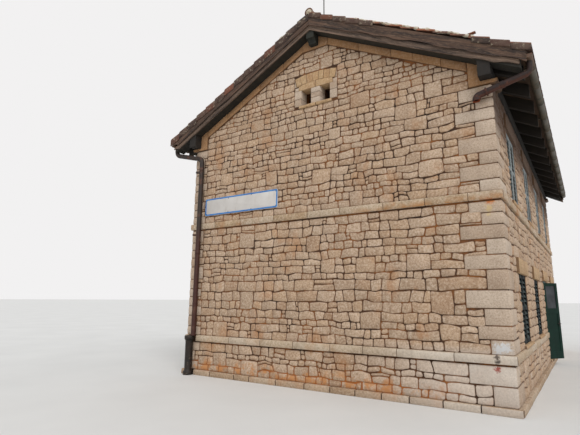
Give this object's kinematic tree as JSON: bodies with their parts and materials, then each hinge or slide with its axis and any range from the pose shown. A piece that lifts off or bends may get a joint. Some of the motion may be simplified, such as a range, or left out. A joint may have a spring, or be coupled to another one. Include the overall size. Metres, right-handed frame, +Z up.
{
  "type": "railway station building",
  "caption": "Hollow stone station building with a tiled gable roof, louvred shutters, gutters and a half-glazed door leaf that swings.",
  "frame": {"origin": "on the ground under the middle of the building", "axes": "+X along the gable to the side with the open door leaf, +Y along the ridge away from the gable with the board, +Z up"},
  "size_m": [9.082, 12.84, 9.91],
  "materials": {
    "rubble_stone": "squared rubble, weathered",
    "dressed_stone": "dressed limestone, weathered",
    "footing_stone": "pale rough slabs",
    "floor_stone": "worn slab",
    "floor_timber": "planed boards",
    "roof_timber": "dark weathered timber",
    "barge_timber": "bare grey-brown weathered timber",
    "clay_tile": "fired clay, weathered",
    "gutter_metal": "old brown paint with rust",
    "pipe_metal": "old dark paint with rust",
    "iron": "black, dull",
    "rod_steel": "weathered",
    "lower_shutter_paint": "dark blue-green paint",
    "upper_shutter_paint": "faded grey-blue paint",
    "door_paint": "teal-green gloss paint",
    "frame_paint": "faded pale paint",
    "window_glass": "old clear glass",
    "board_enamel": "pale enamel with a blue border line"
  },
  "bodies": {
    "building": {"front_gable_wall": "rubble_stone", "rear_gable_wall": "rubble_stone", "right_wall_near": "rubble_stone", "right_wall_far": "rubble_stone", "right_wall_upper": "rubble_stone", "left_wall_lower": "rubble_stone", "left_wall_upper": "rubble_stone", "plinth_moulding": "dressed_stone", "string_course": "dressed_stone", "lintels": "dressed_stone", "sills": "dressed_stone", "vent_sills": "dressed_stone", "vent_arches": "dressed_stone", "copings": "dressed_stone", "kneelers": "dressed_stone", "footing": "footing_stone", "ground_floor": "floor_stone", "upper_floor": "floor_timber", "attic_floor": "floor_timber", "ridge_beam": "roof_timber", "wall_plates": "roof_timber", "rafters": "roof_timber", "verge_soffits": "roof_timber", "roof_boards": "roof_timber", "battens": "roof_timber", "board_battens": "roof_timber", "bargeboards": "barge_timber", "right_tiles": "clay_tile", "left_tiles": "clay_tile", "ridge_tiles": "clay_tile", "gutters": "gutter_metal", "gutter_brackets": "gutter_metal", "downpipe": "pipe_metal", "broken_pipe": "pipe_metal", "drain_boot": "iron", "pipe_clamps": "iron", "hinge_pins": "iron", "ridge_rod": "rod_steel", "lower_shutters": "lower_shutter_paint", "upper_shutters": "upper_shutter_paint", "door_frames": "door_paint", "fixed_leaves": "door_paint", "window_frames": "frame_paint", "window_panes": "window_glass", "fixed_leaf_panes": "window_glass", "name_board": "board_enamel"},
    "door": {"moving_leaf": "door_paint", "moving_leaf_pane": "window_glass", "leaf_knuckles": "iron", "door_handle": "iron"}
  },
  "joints": [
    {"name": "door_swing", "type": "hinge", "parent": "building", "child": "door", "pos_m": [3.815, 0.843, 0], "axis": [0, 0, -1], "range_deg": [-38, 52]}
  ]
}
